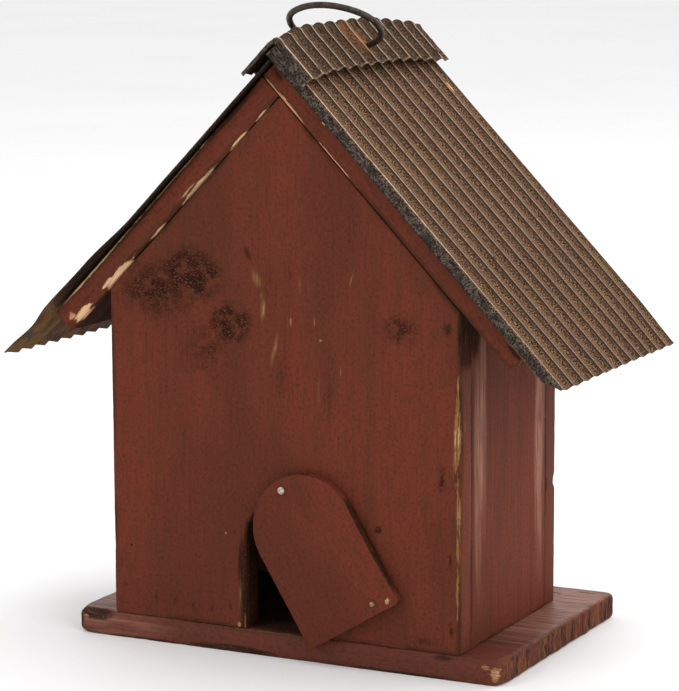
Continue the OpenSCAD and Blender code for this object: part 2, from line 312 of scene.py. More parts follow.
    # Bare wood: along the arrises, in spots, and on the inner face
    wear = m.plus(m.times(jag, 0.8), m.times(patch, 1.1))
    wear = m.minus(wear, m.times(edge, 620.0))
    wear = m.rise(wear, 1.06 - worn, 1.20 - worn)
    for spots, place, limit in ((bare, flat, 1.0), (edge_bare, on_edge, foremost)):
        if spots:
            spot = m.plus(m.spots(place, spots), m.times(jag, 1.3))
            spot = m.times(m.rise(spot, 0.98, 1.18), limit)
            wear = m.larger(wear, spot)
    if scuffs:
        thin = m.plus(m.times(fibre, 0.8), m.times(jag, 0.9))
        thin = m.plus(m.spots(flat, scuffs), thin)
        wear = m.larger(wear, m.rise(thin, 1.05, 1.75, 0.75))
    if inside:
        wear = m.larger(wear, m.rise(split.outputs[2], inside - 0.0001, inside - 0.00003))
    wood = m.blend(m.rise(late, 0.2, 1.0, 0.75), WOOD, WOOD_LATE)
    wood = m.blend(m.rise(patch, 0.46, 0.66, 0.6), wood, WOOD_GREY)
    wood = m.blend(m.rise(jag, 0.32, 0.56, aged), wood, WOOD_AGED)
    wood = m.blend(m.rise(fibre, 0.47, 0.66, 0.45 + 0.35 * aged), wood, GLAZE)
    colour = m.blend(wear, paint, wood)

    rough = m.plus(m.times(streak, 0.30), m.times(wear, 0.30))
    rough = m.minus(m.plus(rough, 0.36), m.times(sheen_mask, 0.25))
    rough = m.plus(rough, m.times(m.plus(end, matt), 0.45), True)
    height = m.plus(m.times(fibre, 0.5), m.times(late, 0.16))
    height = m.plus(height, m.times(grit, 0.25))
    height = m.minus(height, m.times(wear, 0.45))
    if crack is not None:
        height = m.minus(height, m.times(crack, 0.9))
    return m.finish(colour, rough, height, 0.5 * MM, Specular_IOR_Level=gloss, IOR=ior)


def rusty_tin(name, stain=(), flecks=(), sooty=0.0):
    """Brown corrugated tin: pale worn crests with a painted highlight, steep flanks darkened with
    painted shade and grit, an underside of dirt and painted shade, and rust in spots. sooty
    darkens the whole sheet."""
    m = Shader(bpy.data.materials.new(name))
    at = m.attribute("tin", "Vector")
    crest = m.attribute("crest")
    flank = m.attribute("flank")
    lip = m.attribute("lip")
    under = m.attribute("under")
    edge = m.attribute("edge")
    along = m.node("ShaderNodeSeparateXYZ", {0: at}).outputs[0]
    speck = m.noise(at, (1500, 1500, 1500), 2, 0.8)
    mottle = m.noise(at, (360, 420, 420), 4, 0.65)
    patch = m.noise(at, (40, 70, 70), 3)
    hue = m.noise(at, (85, 120, 120), 2)

    colour = m.blend(m.rise(patch, 0.38, 0.64), rgb(122, 83, 50), rgb(102, 66, 40))
    colour = m.blend(m.rise(hue, 0.50, 0.66, 0.45), colour, rgb(106, 82, 44))
    colour = m.blend(m.rise(hue, 0.46, 0.32, 0.5), colour, rgb(122, 66, 46))
    colour = m.blend(m.rise(mottle, 0.48, 0.64, 0.6), colour, rgb(66, 46, 33))
    colour = m.blend(m.rise(speck, 0.48, 0.54, 0.97), colour, rgb(22, 14, 9))
    colour = m.blend(m.rise(speck, 0.46, 0.37, 0.75), colour, rgb(182, 142, 104))
    colour = m.blend(sooty, colour, rgb(58, 48, 36))
    grey = m.blend(m.rise(speck, 0.44, 0.58), rgb(96, 84, 74), rgb(30, 24, 20))
    grey = m.blend(m.rise(mottle, 0.42, 0.58, 0.7), grey, rgb(24, 19, 15))
    # Painted shade on each rib's steep front face, darkest just under the crest, speckled with grit.
    shade = m.blend(m.rise(speck, 0.46, 0.62), rgb(84, 61, 46), rgb(32, 23, 17))
    shade = m.blend(m.rise(mottle, 0.45, 0.62, 0.5), shade, rgb(84, 76, 66))
    colour = m.blend(m.rise(flank, 0.40, 0.85, 0.7), colour, shade)
    colour = m.blend(m.rise(flank, 0.72, 0.95, 0.85), colour, rgb(36, 24, 16))
    colour = m.blend(lip, colour, grey)
    if stain:
        rust = m.plus(m.spots(at, stain), m.times(mottle, 0.5))
        rusty = m.blend(m.rise(speck, 0.45, 0.62), rgb(144, 92, 54), rgb(82, 52, 32))
        colour = m.blend(m.rise(rust, 0.5, 0.95, 0.85), colour, rusty)
    # Pale crests: worn metal plus a painted highlight, brighter towards the ridge and fading down the
    # slope.
    crest_wear_and_highlight = m.times(m.rise(crest, 0.68, 0.99), m.rise(mottle, 0.72, 0.46))
    crest_wear_and_highlight = m.times(crest_wear_and_highlight, m.rise(along, 0.19, 0.06))
    crest_wear_and_highlight = m.larger(crest_wear_and_highlight, m.times(m.rise(crest, 0.55, 0.98), 0.4))
    colour = m.blend(crest_wear_and_highlight, colour, rgb(230, 206, 176))
    rim = m.times(m.rise(edge, 0.0009, 0.0002), m.rise(mottle, 0.62, 0.45, 0.6))
    colour = m.blend(rim, colour, rgb(150, 128, 108))
    if flecks:
        pale = m.rise(m.plus(m.spots(at, flecks), m.times(mottle, 0.5)), 0.7, 0.8)
        colour = m.blend(pale, colour, rgb(222, 170, 110))
    # Underside: dark dirt, and further up under the roof a darker painted shade.
    underside_dirt_and_shade = m.blend(m.rise(hue, 0.45, 0.6), rgb(84, 58, 38), rgb(118, 84, 44))
    underside_dirt_and_shade = m.blend(m.rise(along, 0.150, 0.125), underside_dirt_and_shade, rgb(34, 25, 19))
    underside_dirt_and_shade = m.blend(m.rise(speck, 0.48, 0.64, 0.7), underside_dirt_and_shade, rgb(26, 19, 14))
    colour = m.blend(m.times(under, 0.92), colour, underside_dirt_and_shade)
    rough = m.scaled(speck, 0.35, 0.5)
    height = m.plus(m.times(speck, 0.5), m.times(mottle, 0.5))
    return m.finish(colour, rough, height, 0.35 * MM, Metallic=0.0, Specular_IOR_Level=0.12)


def plain_metal(name, light, darker, rough_low, metallic, depth=0.2 * MM, gloss=0.5):
    """Wire or nail metal, mottled between two colours."""
    m = Shader(bpy.data.materials.new(name))
    at = m.node("ShaderNodeTexCoord").outputs["Object"]
    mottle = m.noise(at, (700, 700, 700), 4, 0.65)
    broad = m.noise(at, (160, 160, 160), 2)
    colour = m.blend(m.rise(mottle, 0.40, 0.62), light, darker)
    colour = m.blend(m.rise(broad, 0.52, 0.66, 0.6), colour, rgb(74, 48, 34))
    rough = m.scaled(mottle, 0.35, rough_low)
    return m.finish(colour, rough, mottle, depth, Metallic=metallic, Specular_IOR_Level=gloss)


# ---- Meshes ----

WELD = 1e-6             # points closer than this are one


def make_piece(node, body, material, verts, faces, attributes, smooth_angle=40):
    """Detailed piece in place of a CAD node, from plain lists, with one value for each vertex in
    every named attribute. Edges sharper than smooth_angle degrees stay sharp."""
    mesh = bpy.data.meshes.new(node + "_detail")
    mesh.from_pydata([tuple(v) for v in verts], [], faces)
    for key, values in attributes.items():
        vector = not isinstance(values[0], (int, float))
        kind = "FLOAT_VECTOR" if vector else "FLOAT"
        layer = mesh.attributes.new(key, kind, "POINT")
        flat = [c for v in values for c in v] if vector else values
        layer.data.foreach_set("vector" if vector else "value", flat)
    shape = bmesh.new()
    shape.from_mesh(mesh)
    bmesh.ops.remove_doubles(shape, verts=shape.verts, dist=WELD)
    bmesh.ops.recalc_face_normals(shape, faces=shape.faces)
    limit = math.radians(smooth_angle)
    for f in shape.faces:
        f.smooth = True
    for e in shape.edges:
        if len(e.link_faces) == 2 and e.calc_face_angle(0) > limit:
            e.smooth = False
    shape.to_mesh(mesh)
    shape.free()
    mesh.materials.append(material)
    piece = bpy.data.objects.new(node + "_detail", mesh)
    bpy.context.scene.collection.objects.link(piece)
    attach(piece, body)
    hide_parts(node)


def tube_faces(first, rings, sides):
    """Faces round a tube of rings, each of so many points, from the point numbered first."""
    faces = []
    for i in range(rings - 1):
        a, b = first + i * sides, first + (i + 1) * sides
        for k in range(sides):
            j = (k + 1) % sides
            faces.append((a + k, a + j, b + j, b + k))
    return faces


SKIRT = 5 * MM          # width of the ring of faces along each arris
SIDE_STEP = 2.2 * MM    # spacing of the points along an outline
ARC = 4                 # steps round a corner or an arris


def trace(corners):
    """Points round a closed outline, counter-clockwise. Each corner is (x, y, radius), with radius
    0 on a curve. Returns (point, inward direction, point one skirt further in) for each."""
    points = [Vector(c[:2]) for c in corners]
    count = len(points)
    ahead = [(points[(i + 1) % count] - points[i]).normalized() for i in range(count)]
    inward = [Vector((-d.y, d.x)) for d in ahead]
    mitre = []
    for i in range(count):
        both = inward[i - 1] + inward[i]
        mitre.append(both / (1 + inward[i - 1].dot(inward[i])))
    inner = [points[i] + mitre[i] * SKIRT for i in range(count)]
    ring = []
    for i in range(count):
        radius = corners[i][2]
        nxt = (i + 1) % count
        if radius:
            centre = points[i] + mitre[i] * radius
            for k in range(ARC + 1):
                out = -(inward[i - 1].lerp(inward[i], k / ARC).normalized())
                ring.append((centre + out * radius, -out, inner[i]))
        else:
            ring.append((points[i], mitre[i].normalized(), inner[i]))
        start = points[i] + (mitre[i] - inward[i]) * radius
        end = points[nxt] + (mitre[nxt] - inward[i]) * corners[nxt][2]
        steps = max(1, round((end - start).length / SIDE_STEP))
        reach = (inner[nxt] - inner[i]).dot(ahead[i])
        for k in range(1, steps):
            p = start.lerp(end, k / steps)
            along = min(max((p + inward[i] * SKIRT - inner[i]).dot(ahead[i]), 0), reach)
            ring.append((p, inward[i], inner[i] + ahead[i] * along))
    return ring


def board(node, corners, thick, place, along, seed, material, wear=0.7, gouge=None, body="house"):
    """Board cut to an outline, with worn, chipped arrises. place(p, q, depth) puts a point of the
    outline in the frame; along says whether the grain runs with p (0) or q (1); gouge(p, q, face)
    is extra wear in mm on the outer (0) or inner (1) face's arris."""
    ring = trace(corners)
    verts, grain, edge, ends = [], [], [], []
    levels = 2 * (ARC + 3) + 1
    for p, inward, inner in ring:
        end = smooth(abs(inward[along]), 0.6, 0.95)
        rows = []
        for face in (0, 1):
            x, y, z = p.x, p.y, seed + face * 0.3
            rough = 0.5 * wobble(x, y, z, 55) + 0.45 * wobble(x, y, z, 240)
            chip = 7 * max(0, wobble(x, y, z + 5, 120) - 0.45)
            r = MM * max(0.3, wear * (0.8 + rough + chip) * (1 + 0.4 * end))
            if gouge:
                r += MM * gouge(p.x / MM, p.y / MM, face)
            r = min(r, 0.45 * thick)
            half = [(SKIRT, 0, SKIRT, 0), (max(2.5 * MM, 1.15 * r), 0, max(2.5 * MM, 1.15 * r), 0)]
            for k in range(ARC + 1):
                angle = k / ARC * math.pi / 2
                inset, depth = r * (1 - math.sin(angle)), r * (1 - math.cos(angle))
                half.append((inset, depth, min(abs(k - ARC / 2) / ARC * 1.2 * MM, 1 * MM), k / ARC))
            rows.append(half)
        dent = MM * max(0, 0.22 + 0.4 * wobble(p.x, p.y, seed, 310)) * (0.25 + end)
        middle = [(dent, thick / 2, thick / 2, 1)]
        back = [(inset, thick - depth, e, s) for inset, depth, e, s in reversed(rows[1])]
        for inset, depth, e, side in rows[0] + middle + back:
            spot = p.lerp(inner, inset / SKIRT)
            verts.append(place(spot.x, spot.y, depth))
            grain.append((spot[along], spot[1 - along], depth))
            edge.append(e)
            ends.append(end * side)
    count = len(ring)
    faces = [tuple(i * levels for i in range(count)),
             tuple(i * levels + levels - 1 for i in reversed(range(count)))]
    for i in range(count):
        j = (i + 1) % count
        for k in range(levels - 1):
            faces.append((i * levels + k, i * levels + k + 1, j * levels + k + 1, j * levels + k))
    values = {"grain": grain, "edge": edge, "end": ends}
    make_piece(node, body, material, verts, faces, values)


def on_slope(side, s, y, h, top):
    """Point s down a roof slope from the line at height top, and h out of it. side is 1 or -1."""
    return Vector((side * (s * COS + h * SIN), y, top - s * SIN + h * COS))


def grid_sheet(node, rows, material):
    """Thin closed sheet from rows of (upper point, lower point, {attribute: value})."""
    width = len(rows[0])
    count = len(rows) * width
    flat = [cell for row in rows for cell in row]
    verts = [c[0] for c in flat] + [c[1] for c in flat]
    values = {key: [c[2][key] for c in flat] * 2 for key in flat[0][2]}
    values["under"] = [0.0] * count + [1.0] * count
    faces = []
    for i in range(len(rows) - 1):
        for j in range(width - 1):
            a, b = i * width + j, (i + 1) * width + j
            faces.append((a, b, b + 1, a + 1))
            faces.append((a + count, a + 1 + count, b + 1 + count, b + count))
    last = (len(rows) - 1) * width
    rim = list(range(width)) + [i * width + width - 1 for i in range(1, len(rows))]
    rim += [last + j for j in reversed(range(width - 1))]
    rim += [i * width for i in reversed(range(1, len(rows) - 1))]
    for a, b in zip(rim, rim[1:] + rim[:1]):
        faces.append((a, b, b + count, a + count))
    make_piece(node, "house", material, verts, faces, values, 75)


# One rib: (place within the pitch from the crest, share of the rib's height, crest, flank). The
# flank rises from 0 at the foot of the steep front face to 1 just under the crest.
# crest places the pale worn crest with its painted highlight, and flank the painted shade on the
# front face.
RIB_SHAPE = [
    (-0.32, 0.00, 0.0, 0.30), (-0.26, 0.08, 0.0, 0.45), (-0.20, 0.34, 0.0, 0.62),
    (-0.13, 0.70, 0.0, 0.80), (-0.08, 0.91, 0.0, 1.00), (-0.045, 0.985, 0.55, 0.90),
    (0.00, 1.00, 1.0, 0.0), (0.045, 0.975, 0.4, 0.0), (0.12, 0.90, 0.0, 0.0),
    (0.24, 0.73, 0.0, 0.0), (0.36, 0.52, 0.0, 0.0), (0.48, 0.30, 0.0, 0.0),
    (0.58, 0.12, 0.0, 0.08), (0.64, 0.03, 0.0, 0.2),
]
# The folded front edge: (mm ahead of the first crest, share of the way down the fold)
FOLD = [(1.65, 1.0), (1.5, 0.72), (1.25, 0.42), (0.9, 0.16)]


def rib_profile(first, pitch, ribs, y_end):
    """Points across a corrugated sheet, from its folded front edge to its back edge, as
    (y, share of the rib's height, crest, flank, share of the way down the fold)."""
    points = [(first - ahead * MM, 1.0, 0.0, 0.0, down) for ahead, down in FOLD]
    for i in range(ribs):
        for place, share, crest, flank in RIB_SHAPE:
            if i == 0 and place < -0.01:
                continue
            points.append((first + (i + place) * pitch, share, crest, flank, 0.0))
    for place, share, crest, flank in RIB_SHAPE[:6]:
        y = first + (ribs + place) * pitch
        if y < y_end - 0.2 * MM:
            points.append((y, share, crest, flank, 0.0))
    points.append((y_end, points[-1][1] * 0.9, 0.0, 0.3, 0.0))
    return points


def roof_sheet(node, side, s_start, s_end, profile, bend, lip, seed, material):
    """Corrugated sheet down one slope. bend(s, y) lifts it off the board, and lip is how far its
    front edge is folded down, both in metres."""
    rows = []
    steps = 70
    notch = 2.6 * MM
    for i in range(steps + 1):
        row = []
        for y, share, crest, flank, down in profile:
            top = s_start if abs(y) > notch else max(s_start, 8 * MM)
            skew = 0.6 * MM * wobble(y, 0, seed, 90)
            end = s_end - 0.7 * MM - abs(skew)
            s = top + (end - top) * i / steps
            height = RIB * (1 + 0.08 * wobble(s, y, seed, 30))
            fold = lip * down * (1 - smooth(s, s_end - 9 * MM, s_end))
            lift = 0.12 * MM * wobble(s, y, seed + 3, 45) + bend(s, y)
            h = SHEET_TOP - 0.15 * MM - RIB + share * height + lift - fold
            drift = 0.22 * MM * wobble(s, round(y / SHEET_PITCH), seed + 8, 22)
            y_at = min(y + drift * (abs(y) < 0.05), profile[-1][0])
            near = min(s - s_start, s_end - s)
            values = {"tin": (s, y, seed - fold), "crest": crest, "flank": flank, "edge": near,
                      "lip": min(1, 5 * down)}
            row.append((on_slope(side, s, y_at, h, RIDGE_Z),
                        on_slope(side, s, y_at, h - TIN, RIDGE_Z), values))
        rows.append(row)
    grid_sheet(node, rows, material)


# ---- Wooden boards ----

def corner(x, y, radius=0.8):
    return (x, y, radius * MM)


def base_gouge(p, q, face):
    """Rough right end and knocked corners of the base."""
    ragged = 0.9 + 1.3 * max(0, wobble(q, 0, 4, 0.16)) + 0.7 * wobble(q, 1, 4, 0.5)
    right = smooth(p, 88, 92) * ragged
    near_left = 1.8 * smooth(-p, 86, 92) * smooth(-q, 50, 57)
    near_right = 1.5 * smooth(p, 84, 92) * smooth(-q, 46, 57)
    return max(0, right) * (1 - 0.4 * face) + near_left + near_right


def front_gouge(p, q, face):
    """Long worn strip on the front wall's right arris."""
    if face:
        return 0
    strip = smooth(q, 24, 60) * smooth(-q, -122, -84)
    ripple = 1 + 0.35 * wobble(q, 0, 2, 0.09) + 0.2 * wobble(q, 5, 2, 0.35)
    return (smooth(p, 70, 75) * 2.3 * strip * ripple
            + 0.5 * smooth(-p, 13, 16) * smooth(-q, -40, -10) * smooth(p, -17, -15))


def back_gouge(p, q, face):
    """Two knocks out of the back wall's right arris."""
    low = smooth(q, 56.5, 58.5) * smooth(-q, -62.5, -60.5)
    high = smooth(q, 122, 124) * smooth(-q, -130, -127)
    return smooth(p, 73, 75) * (1.9 * low + 1.5 * high)


def left_board_gouge(p, q, face):
    """Chipped front edge of the left roof board."""
    front = smooth(-q, 52, 57)
    under = 1.5 * smooth(p, 82, 92) * smooth(-p, -118, -104) + 1.6 * smooth(p, 116, 122)
    thin = 0.5 * smooth(p, 18, 30) * smooth(-p, -80, -60)
    return front * (face * (under + thin) + (1 - face) * 0.35)


def right_board_gouge(p, q, face):
    """Split lower corner of the right roof board."""
    front = smooth(-q, 52, 57)
    return front * (0.3 * (1 - face) + 0.4 * smooth(p, 131, 135)) * smooth(p, 60, 70)


def base_board():
    corners = [corner(base_lo.x, base_lo.y, 1.6), corner(base_hi.x, base_lo.y, 2.2),
               corner(base_hi.x, base_hi.y, 1.8), corner(base_lo.x, base_hi.y, 1.4)]
    paint = painted_wood(
        "paint_base", (0.3, 0.02, 0.021), worn=0.07, glaze=-0.2, inside=BOARD,
        gloss=0.22, ior=1.38, aged=0.7, grime=0.35,
        # The sheen spots paint the reflection of the white backdrop on the base's top.
        sheen_spots=[(88, 24, 60, 70, 1.4), (-88, 0, 60, 90, 1.2)],
        dark=[(70, 47, 5, 1.0, 1.1), (80, 52, 1.8, 1.2, 1.0), (70, -53, 18, 3, 0.6),
              (-4, -37, 30, 22, 2.4), (82, 52, 6, 1.0, 1.2)],
        edge_bare=[(89.5, 5, 3.4, 4.8, 0.9), (85.5, 3, 3.5, 2, 0.7),
                   (-89, 3.2, 2.4, 2, 0.85)],
        edge_dark=[(-22, 9.2, 28, 3.2, 1.2), (-84, 1.5, 11, 4, 1.3),
                   (-60, 9.6, 40, 1.6, 0.8), (50, 9.6, 50, 1.6, 0.8),
                   (68, 1.5, 8, 2, 0.8), (-91, 5, 2, 6, 0.8)])
    board("base_board", corners, BOARD, lambda p, q, d: Vector((p, q, BOARD - d)), 0, 1.3, paint,
          0.9, base_gouge)


def gable_corners():
    return [corner(WALL_X, BOARD), corner(WALL_X, GABLE_EAVE, 0.5), corner(0, GABLE_TOP, 0.5),
            corner(-WALL_X, GABLE_EAVE, 0.5), corner(-WALL_X, BOARD)]


def front_wall():
    """Gable wall with the arched doorway, whose place comes from the CAD mesh's jambs."""
    inner = [v.co for v in frame["nodes"]["front_wall"].data.vertices
             if abs(v.co.z - BOARD) < 0.01 * MM and abs(v.co.x) < 0.5 * WALL_X]
    jamb_l, jamb_r = min(v.x for v in inner), max(v.x for v in inner)
    centre, radius = (jamb_l + jamb_r) / 2, (jamb_r - jamb_l) / 2
    spring = 46 * MM
    corners = gable_corners() + [corner(jamb_l, BOARD, 0.5)]
    for k in range(25):
        angle = math.pi * (1 - k / 24)
        corners.append((centre + radius * math.cos(angle), spring + radius * math.sin(angle), 0))
    corners.append(corner(jamb_r, BOARD, 0.5))
    # The grain runs up the wall, so a spot is (height, place across, half length, half width, ...)
    bare = [(93, 73.4, 28, 2.3, 0.92, 1), (60, 73.9, 34, 1.5, 0.8), (34, 73.9, 24, 1.2, 0.7),
            (112, 73.9, 12, 1.0, 0.7), (11.4, -19.2, 2, 1.4, 0.95),
            (12, -16.6, 8, 0.5, 0.65), (47.3, -24.8, 0.8, 0.8, 1.2),
            (128.5, 70.6, 0.7, 0.7, 1.2)]
    scuffs = [(147.6, -10.2, 6.5, 3.4, 0.85, -20), (136.5, -7.6, 8, 1.9, 0.95, 3),
              (141.5, -8.2, 4, 1.4, 0.7), (147, 8.4, 7, 1.7, 0.6), (135, 8.6, 9, 0.8, 0.5),
              (150, 30, 7, 1.0, 0.75, 17), (132.3, 4.3, 3.2, 0.8, 1.05),
              (133, 14.3, 3.4, 0.8, 1.0), (121, -2.8, 12, 1.6, 0.9, 14),
              (126, 17, 1.2, 1.6, 0.9), (106, 16.2, 14, 1.2, 0.6),
              (114.7, 25.4, 3, 0.7, 0.8), (98, 13, 14, 5, 0.3),
              (24, -18.6, 16, 1.3, 0.65)]
    cracked = [(148, -39, 15, 20, 1.25, 8), (141, -54, 18, 30, 0.85), (130, -22, 12, 14, 1.2),
               (132, 51, 11, 13, 0.75), (77, 67.4, 10, 3, 0.75), (120, -32, 26, 22, 0.55),
               (146, -6, 20, 12, 0.4)]
    # The spots at across -15.2 paint shade on the doorway's left jamb; the others are stains, nail
    # holes and dark marks.
    dark = [(55.2, 41.0, 2.4, 2.4, 1.0), (157, -14, 7, 2.6, 0.7, -20), (150, 4, 14, 3, 0.45),
            (110, 0, 30, 14, 0.42), (105, 20, 34, 9, 0.42), (38.1, -67.3, 1, 1, 1.1),
            (21.9, -70.3, 1.4, 1.3, 1.3), (133.9, 69.6, 5, 4, 0.75),
            (77, 67.6, 8, 2.0, 0.5), (46, 71, 6, 1.4, 0.7), (19.1, 71.6, 4, 1.6, 0.8),
            (34, -17.6, 17, 2.8, 1.3), (19, -17.4, 18, 2.0, 1.2),
            (16, -15.2, 22, 2.4, 2.8), (38, -15.2, 18, 2.4, 2.8),
            (6, -15.2, 18, 2.4, 2.4), (132, 75.6, 20, 2.6, 1.4), (14, 60, 5, 18, 0.5)]
    for k in range(5):
        dark.append((18 - 0.5 * (k % 4), -56 + 8.2 * k, 5, 2.2, 0.52))
    paint = painted_wood("paint_front", (0.1, 0.16, 0.035), bare, scuffs, cracked, dark,
                         worn=-0.22, inside=BOARD, aged=1.0)
    board("front_wall", corners, BOARD, lambda p, q, d: Vector((p, FRONT_Y + d, q)), 1, 2.1, paint,
          0.55, front_gouge)


def back_wall():
    paint = painted_wood(
        "paint_back", (0.6, 0.05, 0.03), glaze=0.1, inside=BOARD, worn=-0.16,
        cracked=[(120, 35, 20, 25, 0.8), (60, -40, 18, 20, 0.6)],
        scuffs=[(150, -12, 12, 2, 0.9, 8), (132, 6, 14, 1.5, 0.8)],
        dark=[(100, 0, 40, 16, 0.4), (128, -71, 4, 3, 0.6)])
    board("back_wall", gable_corners(), BOARD, lambda p, q, d: Vector((p, BACK_Y - d, q)), 1, 3.7,
          paint, 0.6, back_gouge)


def side_wall(node, side, seed, paint):
    y0, y1 = side_lo.y, side_hi.y
    corners = [corner(y0, side_lo.z, 0.4), corner(y1, side_lo.z, 0.4),
               corner(y1, side_hi.z, 0.4), corner(y0, side_hi.z, 0.4)]
    board(node, corners, BOARD, lambda p, q, d: Vector((side * (WALL_X - d), p, q)), 1, seed,
          paint, 0.35)


def side_walls():
    # The sheen spots paint the side walls' bands of reflected white surroundings, lighter and pinker.
    right = painted_wood(
        "paint_right_side", (0.9, 0.09, 0.04), glaze=0.3, inside=BOARD, worn=-0.5, gloss=0.04,
        ior=1.3, sheen_spots=[(88, -39, 76, 7.5, 0.9), (84, 18, 80, 7, 1.1)],
        dark=[(131, -44, 16, 7, 1.1), (134, -36, 9, 5, 0.8), (132, -10, 5, 16, 0.5),
              (60, -8, 60, 12, 0.28)])
    left = painted_wood(
        "paint_left_side", (1.3, 0.12, 0.05), glaze=0.05, inside=BOARD, worn=-0.5, gloss=0.04,
        ior=1.3, sheen_spots=[(85, 10, 76, 9, 0.8), (80, -30, 70, 6, 0.7)],
        dark=[(132, 0, 10, 30, 0.6)])
    side_wall("right_wall", 1, 4.2, right)
    side_wall("left_wall", -1, 5.9, left)


def roof_board(node, side, s0, s1, seed, paint, gouge):
    y0, y1 = right_board_lo.y, right_board_hi.y
    corners = [corner(s0, y0, 0.3), corner(s1, y0, 0.7), corner(s1, y1, 0.8), corner(s0, y1, 0.3)]
    board(node, corners, BOARD, lambda p, q, d: on_slope(side, p, q, BOARD - d, PEAK_Z), 0, seed,
          paint, 0.6, gouge)


def roof_boards():
    # Both boards' undersides are darkened with painted shade and grime.
    left = painted_wood(
        "paint_left_roof", (0.2, 0.2, 0.02), worn=-0.10, glaze=0.1, underside_shade_and_grime=BOARD,
        edge_bare=[(25, 9.7, 10, 1.2, 1.0), (50, 9.8, 15, 2.0, 1.05),
                   (56, 8.0, 8, 1.1, 0.75), (76, 9.6, 8, 0.9, 0.95),
                   (100, 9.4, 14, 2.8, 1.15), (107, 8.2, 6, 1.5, 0.9),
                   (124.5, 8.8, 8, 3.2, 1.0), (129, 6, 3.5, 2.6, 0.75),
                   (10, 9.8, 7, 0.9, 0.8), (105, 0.4, 40, 1.1, 0.95),
                   (60, 0.3, 50, 0.9, 0.8)],
        edge_dark=[(85, 9.8, 45, 1.4, 0.7), (20, 0.9, 24, 1.8, 0.9),
                   (70, 1.4, 50, 1.0, 0.7), (118, 6, 14, 1.5, 0.5)])
    right = painted_wood(
        "paint_right_roof", (0.5, 0.24, 0.03), worn=-0.08, glaze=0.05, underside_shade_and_grime=BOARD,
        edge_bare=[(4, 9.8, 20, 1.5, 1.1), (34, 9.9, 20, 1.1, 0.9),
                   (79, 1.6, 17, 1.8, 1.1), (94, 1.2, 12, 1.2, 0.95),
                   (60, 1.0, 12, 0.9, 0.6), (20, 3.5, 2, 0.8, 0.8)],
        edge_dark=[(134, 3.6, 7, 1.5, 1.9, -8), (137, 6, 1.6, 6, 0.9),
                   (110, 1.2, 30, 1.6, 0.9), (-6, 5, 8, 5, 0.6),
                   (50, 1.4, 40, 1.2, 0.5)])
    roof_board("left_roof_board", -1, 0.05 * MM, LEFT_BOARD_LEN, 6.4, left, left_board_gouge)
    roof_board("right_roof_board", 1, -LAP, RIGHT_BOARD_LEN, 7.7, right, right_board_gouge)


# ---- Corrugated roof ----

def left_bend(s, y):
    """The left sheet's front edge lies close to its board, and leaves it towards the eave."""
    front = smooth(-y, 54.5 * MM, 58.5 * MM)
    loose = smooth(-y, -10 * MM, 57 * MM)
    close = -1.85 * (1 - smooth(s, 90 * MM, 118 * MM))
    belly = 0.45 * smooth(s, 118 * MM, 142 * MM) * (1 - smooth(s, 143 * MM, 154 * MM))
    tip = -0.6 * smooth(s, 144 * MM, 153 * MM) + 1.3 * smooth(s, 154 * MM, 167 * MM)
    return MM * (front * close + loose * (belly + tip))


def right_bend(s, y):
    """The right sheet's lower end curls down a little at the back."""
    return -MM * 0.8 * smooth(s, 140 * MM, 166 * MM) * smooth(y, 0, 56 * MM)


def roof_sheets():
    first = right_sheet_lo.y + FOLD[0][0] * MM
    profile = rib_profile(first, SHEET_PITCH, 12, right_sheet_hi.y)
    right = rusty_tin("tin_right", flecks=[
        (107, -29.5, 2.2, 1.4, 0.55), (28, 51, 5, 3.6, 1.0), (150, -40, 1.5, 0.9, 0.5),
        (40, 33.8, 1.4, 0.7, 0.5)])
    left = rusty_tin("tin_left", stain=[(150, -40, 40, 30, 0.45), (120, 20, 50, 30, 0.3)])
    roof_sheet("right_roof_sheet", 1, -3 * MM, RIGHT_SHEET_LEN, profile, right_bend, 3.8 * MM,
               11.0, right)
    roof_sheet("left_roof_sheet", -1, 0.5 * MM, LEFT_SHEET_LEN, profile, left_bend, 0.4 * MM,
               17.0, left)


CAP_H = 8.6 * MM        # height of the cap's crests over the boards
CROWN_R = 2.8 * MM      # rounding of the cap's crown
FLAP = 17 * MM


